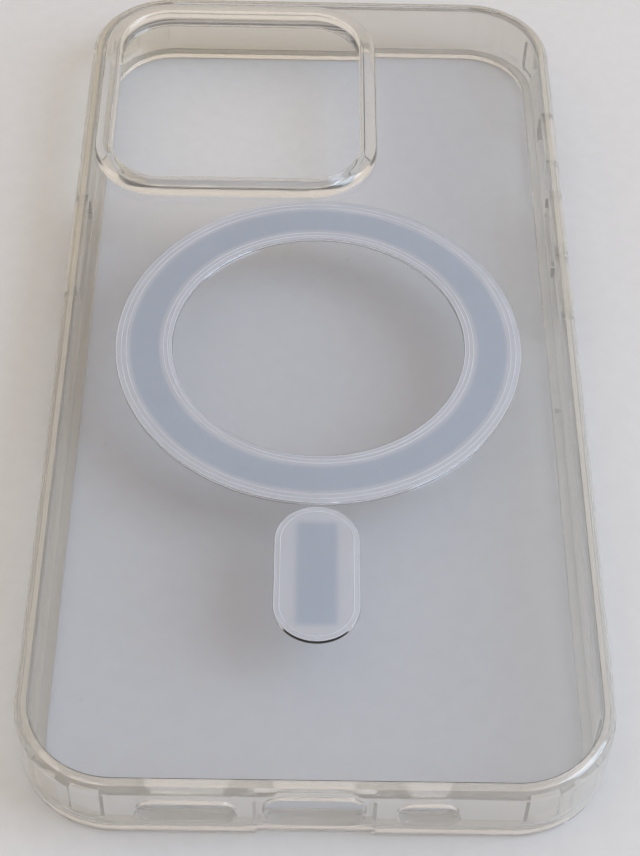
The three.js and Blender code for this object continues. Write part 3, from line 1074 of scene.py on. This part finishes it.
def run_nodes(obj, tree, **values):
    """Puts a tree on an object with its inputs set, and turns the result into a plain mesh."""
    modifier = obj.modifiers.new(tree.name, "NODES")
    modifier.node_group = tree
    for item in tree.interface.items_tree:
        key = item.name.replace(" ", "_").lower()
        if item.item_type == "SOCKET" and item.in_out == "INPUT" and key in values:
            modifier[item.identifier] = values[key]
    mesh = evaluated_mesh(obj)
    obj.modifiers.clear()
    name = obj.name
    old = obj.data
    bpy.data.objects.remove(obj)
    if isinstance(old, bpy.types.Mesh):
        bpy.data.meshes.remove(old)
    result = bpy.data.objects.new(name, mesh)
    bpy.context.scene.collection.objects.link(result)
    return result


def ring_array_tree():
    """Repeats the incoming mesh round a centre."""
    tree = node_tree(
        "Ring of magnets",
        [("Count", "NodeSocketInt", 12), ("Centre", "NodeSocketVector", (0.0, 0.0, 0.0)),
         ("Finish", "NodeSocketMaterial", None)],
    )
    t = Tree(tree)
    entry, out = tree.nodes["In"], tree.nodes["Out"]
    points = t.add("GeometryNodePoints")
    t.link(entry.outputs["Count"], points.inputs["Count"])
    t.link(entry.outputs["Centre"], points.inputs["Position"])
    share = t.math("DIVIDE", 2 * math.pi, entry.outputs["Count"])
    number = t.math("ADD", t.add("GeometryNodeInputIndex").outputs["Index"], 0.5)
    turn = t.add("ShaderNodeCombineXYZ")
    t.link(t.math("MULTIPLY", number, share), turn.inputs["Z"])
    instances = t.add("GeometryNodeInstanceOnPoints")
    t.link(points.outputs[0], instances.inputs["Points"])
    t.link(entry.outputs["Geometry"], instances.inputs["Instance"])
    t.link(turn.outputs["Vector"], instances.inputs["Rotation"])
    real = t.add("GeometryNodeRealizeInstances")
    t.link(instances.outputs["Instances"], real.inputs["Geometry"])
    paint = t.add("GeometryNodeSetMaterial")
    t.link(real.outputs["Geometry"], paint.inputs["Geometry"])
    t.link(entry.outputs["Finish"], paint.inputs["Material"])
    t.link(paint.outputs["Geometry"], out.inputs["Geometry"])
    return tree


def edge_bead_tree():
    """Lays fine beads beside a closed line, some to its inside, as the edges of film layers."""
    tree = node_tree(
        "Film edge beads",
        [("Beads", "NodeSocketInt", 3), ("Spacing", "NodeSocketFloat", 0.0006),
         ("Bead Radius", "NodeSocketFloat", 0.00007), ("Finish", "NodeSocketMaterial", None)],
    )
    t = Tree(tree)
    entry, out = tree.nodes["In"], tree.nodes["Out"]
    line = t.add("GeometryNodeMeshToCurve")
    t.link(entry.outputs["Geometry"], line.inputs["Mesh"])
    copies = t.add("GeometryNodeDuplicateElements", domain="SPLINE")
    t.link(line.outputs["Curve"], copies.inputs["Geometry"])
    t.link(entry.outputs["Beads"], copies.inputs["Amount"])
    normal = t.add("GeometryNodeInputNormal")
    reach = t.math("MULTIPLY", copies.outputs["Duplicate Index"], entry.outputs["Spacing"])
    step = t.add("ShaderNodeVectorMath", operation="SCALE")
    t.link(normal.outputs["Normal"], step.inputs[0])
    t.link(reach, step.inputs["Scale"])
    moved = t.add("GeometryNodeSetPosition")
    t.link(copies.outputs["Geometry"], moved.inputs["Geometry"])
    t.link(step.outputs["Vector"], moved.inputs["Offset"])
    section = t.add("GeometryNodeCurvePrimitiveCircle")
    section.inputs["Resolution"].default_value = 8
    t.link(entry.outputs["Bead Radius"], section.inputs["Radius"])
    tube = t.add("GeometryNodeCurveToMesh")
    t.link(moved.outputs["Geometry"], tube.inputs["Curve"])
    t.link(section.outputs["Curve"], tube.inputs["Profile Curve"])
    smooth = t.add("GeometryNodeSetShadeSmooth")
    t.link(tube.outputs["Mesh"], smooth.inputs["Geometry"])
    real = t.add("GeometryNodeRealizeInstances")
    t.link(smooth.outputs["Geometry"], real.inputs["Geometry"])
    paint = t.add("GeometryNodeSetMaterial")
    t.link(real.outputs["Geometry"], paint.inputs["Geometry"])
    t.link(entry.outputs["Finish"], paint.inputs["Material"])
    t.link(paint.outputs["Geometry"], out.inputs["Geometry"])
    return tree


def build_magnets(ring, material):
    """The ring of magnets, as one mesh of separate rounded segments."""
    low, high = millimetres("magnet_01")
    inner, outer = ring_radii("magnet_01", RING_CENTRE)
    half = math.pi / MAGNET_COUNT - ring.gap / (inner + outer)
    steps = 8
    angles = [half * (2 * step / steps - 1) for step in range(steps + 1)]
    outline = [(outer * math.cos(a), outer * math.sin(a)) for a in angles]
    outline += [(inner * math.cos(a), inner * math.sin(a)) for a in reversed(angles)]
    rings = [[Vector((x, y, z - middle("magnet_01")[2])) for x, y in outline] for z in (low[2], high[2])]
    segment = bevelled(stacked("magnet_ring", rings), 0.06, 2)
    centre = Vector((RING_CENTRE[0], RING_CENTRE[1], middle("magnet_01")[2])) * MM
    made = run_nodes(segment, ring_array_tree(), count=MAGNET_COUNT, centre=centre, finish=material)
    made.name = "magnet_ring"
    return tidied(made, 32.0)


def flat_ring(name, inner_line, outer_line, low, high):
    """A flat closed ring between two outlines of equal size."""
    size = len(inner_line)
    points = []
    for i in range(size):
        (ix, iy), (ox, oy) = inner_line[i][0], outer_line[i][0]
        points += [(ix, iy, low), (ox, oy, low), (ox, oy, high), (ix, iy, high)]
    faces = []
    for i in range(size):
        after = (i + 1) % size
        for j in range(4):
            up = (j + 1) % 4
            faces.append((i * 4 + j, after * 4 + j, after * 4 + up, i * 4 + up))
    return mesh_object(name, points, faces)


def edge_line(name, outline, z):
    """A closed line of edges, for the bead tree."""
    points = [(x, y, z) for (x, y), _, _ in outline]
    mesh = bpy.data.meshes.new(name)
    edges = [(i, (i + 1) % len(points)) for i in range(len(points))]
    mesh.from_pydata([tuple(Vector(p) * MM) for p in points], edges, [])
    obj = bpy.data.objects.new(name, mesh)
    bpy.context.scene.collection.objects.link(obj)
    return obj


def beads_along(name, outline, z, ring, inwards, finish, tree, count=None):
    """Beads on an outline and beside it: inwards is positive to go inside it."""
    return run_nodes(
        edge_line(name, outline, z), tree, beads=count or ring.bead_count,
        spacing=-inwards * ring.bead_spacing * MM, bead_radius=ring.bead_radius * MM, finish=finish,
    )


# ---------------------------------------------------------------- operators


class CASE_OT_materials(bpy.types.Operator):
    """Make the finishes of every piece"""

    bl_idname = "phone_case.materials"
    bl_label = "Finishes"

    def execute(self, context):
        colours = context.scene.case_finish
        frame_tints = (colours.frame_fresh, colours.frame_aged)
        soft_clear_material("soft_frame", *frame_tints, 0.08, 0.06, 0.84)
        soft_clear_material("window_guard", colours.guard_fresh, colours.guard_aged, 0.03, 0.03, 0.94)
        soft_clear_material("button_cap", *frame_tints, 0.08, 0.04, 0.88)
        plate_material(colours)
        film_material(colours)
        bead_material(colours)
        backing_material(colours)
        magnet_material(colours)
        floor_material(context.scene.case_stage)
        return {"FINISHED"}


class CASE_OT_frame(bpy.types.Operator):
    """Build the soft frame with its openings and corner cells"""

    bl_idname = "phone_case.soft_frame"
    bl_label = "Soft frame"

    def execute(self, context):
        frame_piece = build_frame(context.scene.case_frame)
        finished(frame_piece, bpy.data.materials["soft_frame"], CASE_BODY, ["bumper_frame"])
        return {"FINISHED"}


class CASE_OT_plate(bpy.types.Operator):
    """Build the hard back plate"""

    bl_idname = "phone_case.back_plate"
    bl_label = "Back plate"

    def execute(self, context):
        scene = context.scene
        plate = build_plate(scene.case_frame, scene.case_guard, scene.case_ring)
        finished(plate, bpy.data.materials["clear_plate"], CASE_BODY, ["back_plate"])
        return {"FINISHED"}


class CASE_OT_guard(bpy.types.Operator):
    """Build the raised guard round the camera window"""

    bl_idname = "phone_case.window_guard"
    bl_label = "Window guard"

    def execute(self, context):
        guard = build_guard(context.scene.case_guard)
        finished(guard, bpy.data.materials["window_guard"], CASE_BODY, ["camera_guard"])
        return {"FINISHED"}


class CASE_OT_magnets(bpy.types.Operator):
    """Build the ring of magnets and finish the alignment magnet"""

    bl_idname = "phone_case.magnets"
    bl_label = "Magnets"

    def execute(self, context):
        material = bpy.data.materials["magnet"]
        magnets = build_magnets(context.scene.case_ring, material)
        finished(magnets, material, CASE_BODY, MAGNET_NODES)
        low, high = millimetres("alignment_magnet")
        outline = rounded_outline(
            high[0] - low[0], high[1] - low[1], 1.0, tuple((low + high)[:2] / 2), steps=8, spacing=2.0
        )
        bar = stacked("bar_magnet", [offset_ring(outline, 0.0, low[2]), offset_ring(outline, 0.0, high[2])])
        finished(
            tidied(bevelled(bar, 0.06)), material, CASE_BODY, ["alignment_magnet"]
        )
        return {"FINISHED"}


class CASE_OT_films(bpy.types.Operator):
    """Build the frosted films with their edge lines, and finish the backing films"""

    bl_idname = "phone_case.films"
    bl_label = "Films"

    def execute(self, context):
        ring = context.scene.case_ring
        finish, bead_finish = bpy.data.materials["cover_film"], bpy.data.materials["film_edge"]
        tree = edge_bead_tree()
        low, high = millimetres("ring_cover_film")
        inner, outer = ring_radii("ring_cover_film", RING_CENTRE)
        outer_line, inner_line = circle_outline(outer, RING_CENTRE), circle_outline(inner, RING_CENTRE)
        film = flat_ring("ring_film", inner_line, outer_line, low[2], high[2])
        finished(tidied(film), finish, CASE_BODY, ["ring_cover_film"])
        height = high[2] - 0.05
        lap = 0.04
        outer_edge = circle_outline(outer - lap, RING_CENTRE)
        inner_edge = circle_outline(inner + lap, RING_CENTRE)
        lines = [
            beads_along("ring_outer_edge", outer_edge, height, ring, 1, bead_finish, tree),
            beads_along("ring_inner_edge", inner_edge, height, ring, -0.85, bead_finish, tree),
        ]
        self.place_beads("ring_film_edges", lines, bead_finish)
        low, high = millimetres("bar_cover_film")
        pill = bar_outline("bar_cover_film", 0.0)
        bar = stacked("bar_film", [offset_ring(pill, 0.0, low[2]), offset_ring(pill, 0.0, high[2])])
        finished(tidied(bar), finish, CASE_BODY, ["bar_cover_film"])
        line = beads_along(
            "bar_edge", bar_outline("bar_cover_film", -lap), height, ring, 1, bead_finish, tree, 2
        )
        self.place_beads("bar_film_edges", [line], bead_finish)
        for node in ("ring_backing_film", "bar_backing_film"):
            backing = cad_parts[node]
            backing.data.materials.clear()
            backing.data.materials.append(bpy.data.materials["backing_film"])
        return {"FINISHED"}

    def place_beads(self, name, lines, finish):
        """Joins bead lines into one piece on the case."""
        beads = joined(name, lines)
        beads.data.polygons.foreach_set("use_smooth", [True] * len(beads.data.polygons))
        finished(beads, finish, CASE_BODY, [])


class CASE_OT_buttons(bpy.types.Operator):
    """Build the power and volume buttons"""

    bl_idname = "phone_case.buttons"
    bl_label = "Buttons"

    def execute(self, context):
        wall = context.scene.case_frame.wall
        for body, (node, _) in BUTTONS.items():
            cap = build_button(body, wall)
            finished(cap, bpy.data.materials["button_cap"], body, [node])
        return {"FINISHED"}


class CASE_OT_stage(bpy.types.Operator):
    """Set the floor, the lights and the camera"""

    bl_idname = "phone_case.stage"
    bl_label = "Stage"

    def execute(self, context):
        stage = context.scene.case_stage
        self.floor()
        self.sky(context.scene, stage)
        self.area_light("window_light", (0.62, -0.14, 0.52), 0.5, stage.key_power, stage.key)
        self.camera(context.scene, stage)
        return {"FINISHED"}

    def floor(self):
        """The pale floor that the case lies on."""
        reach = 3000.0
        corners = [(x * reach, y * reach, -FLOOR_GAP) for x, y in ((-1, -1), (1, -1), (1, 1), (-1, 1))]
        plane = mesh_object("floor", corners, [(0, 1, 2, 3)])
        plane.data.materials.append(bpy.data.materials["floor"])

    def sky(self, scene, stage):
        """Even soft light from all round."""
        world = bpy.data.worlds.new("sky")
        scene.world = world
        world.use_nodes = True
        background = world.node_tree.nodes["Background"]
        background.inputs["Color"].default_value = (*stage.sky, 1.0)
        background.inputs["Strength"].default_value = stage.sky_strength

    def area_light(self, name, place, size, power, tint):
        """A soft square light that faces the case."""
        light = bpy.data.lights.new(name, "AREA")
        light.size, light.energy, light.color = size, power, tint
        lamp = bpy.data.objects.new(name, light)
        lamp.location = place
        lamp.rotation_euler = (-Vector(place)).to_track_quat("-Z", "Y").to_euler()
        bpy.context.scene.collection.objects.link(lamp)

    def camera(self, scene, stage):
        """The camera, looking down along the case from its port end."""
        data = bpy.data.cameras.new("camera")
        data.sensor_fit, data.sensor_width, data.lens = "AUTO", 36.0, stage.focal
        data.clip_start, data.clip_end = 0.01, 20.0
        camera = bpy.data.objects.new("camera", data)
        level = Matrix.Rotation(math.pi / 2 - stage.pitch, 4, "X")
        turn = Matrix.Rotation(stage.yaw, 4, "Z") @ level @ Matrix.Rotation(stage.roll, 4, "Z")
        camera.matrix_world = Matrix.Translation(Vector(stage.camera_place)) @ turn
        scene.collection.objects.link(camera)
        scene.camera = camera
        scene.view_settings.view_transform = "Standard"


class CASE_PT_panel(bpy.types.Panel):
    """Lists the steps that build the case"""

    bl_idname = "CASE_PT_panel"
    bl_label = "Phone Case"
    bl_space_type = "VIEW_3D"
    bl_region_type = "UI"
    bl_category = "Phone Case"

    def draw(self, context):
        for step in STEPS:
            self.layout.operator(step.bl_idname)
        for name in SETTINGS:
            box = self.layout.box()
            group = getattr(context.scene, name)
            for key in group.bl_rna.properties.keys():
                if key not in ("rna_type", "name"):
                    box.prop(group, key)


STEPS = (
    CASE_OT_materials, CASE_OT_stage, CASE_OT_frame, CASE_OT_plate, CASE_OT_guard,
    CASE_OT_magnets, CASE_OT_films, CASE_OT_buttons,
)
SETTINGS = {
    "case_frame": FrameSettings,
    "case_guard": GuardSettings,
    "case_ring": RingSettings,
    "case_finish": FinishSettings,
    "case_stage": StageSettings,
}


def register():
    """Registers the settings, the operators and the panel."""
    for item in (*SETTINGS.values(), *STEPS, CASE_PT_panel):
        bpy.utils.register_class(item)
    for name, group in SETTINGS.items():
        setattr(bpy.types.Scene, name, bpy.props.PointerProperty(type=group))


def unregister():
    """Takes away what register added."""
    for name in SETTINGS:
        delattr(bpy.types.Scene, name)
    for item in reversed((*SETTINGS.values(), *STEPS, CASE_PT_panel)):
        bpy.utils.unregister_class(item)


def main():
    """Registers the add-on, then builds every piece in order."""
    register()
    for step in STEPS:
        group, name = step.bl_idname.split(".")
        getattr(getattr(bpy.ops, group), name)()


if __name__ == "__main__":
    main()
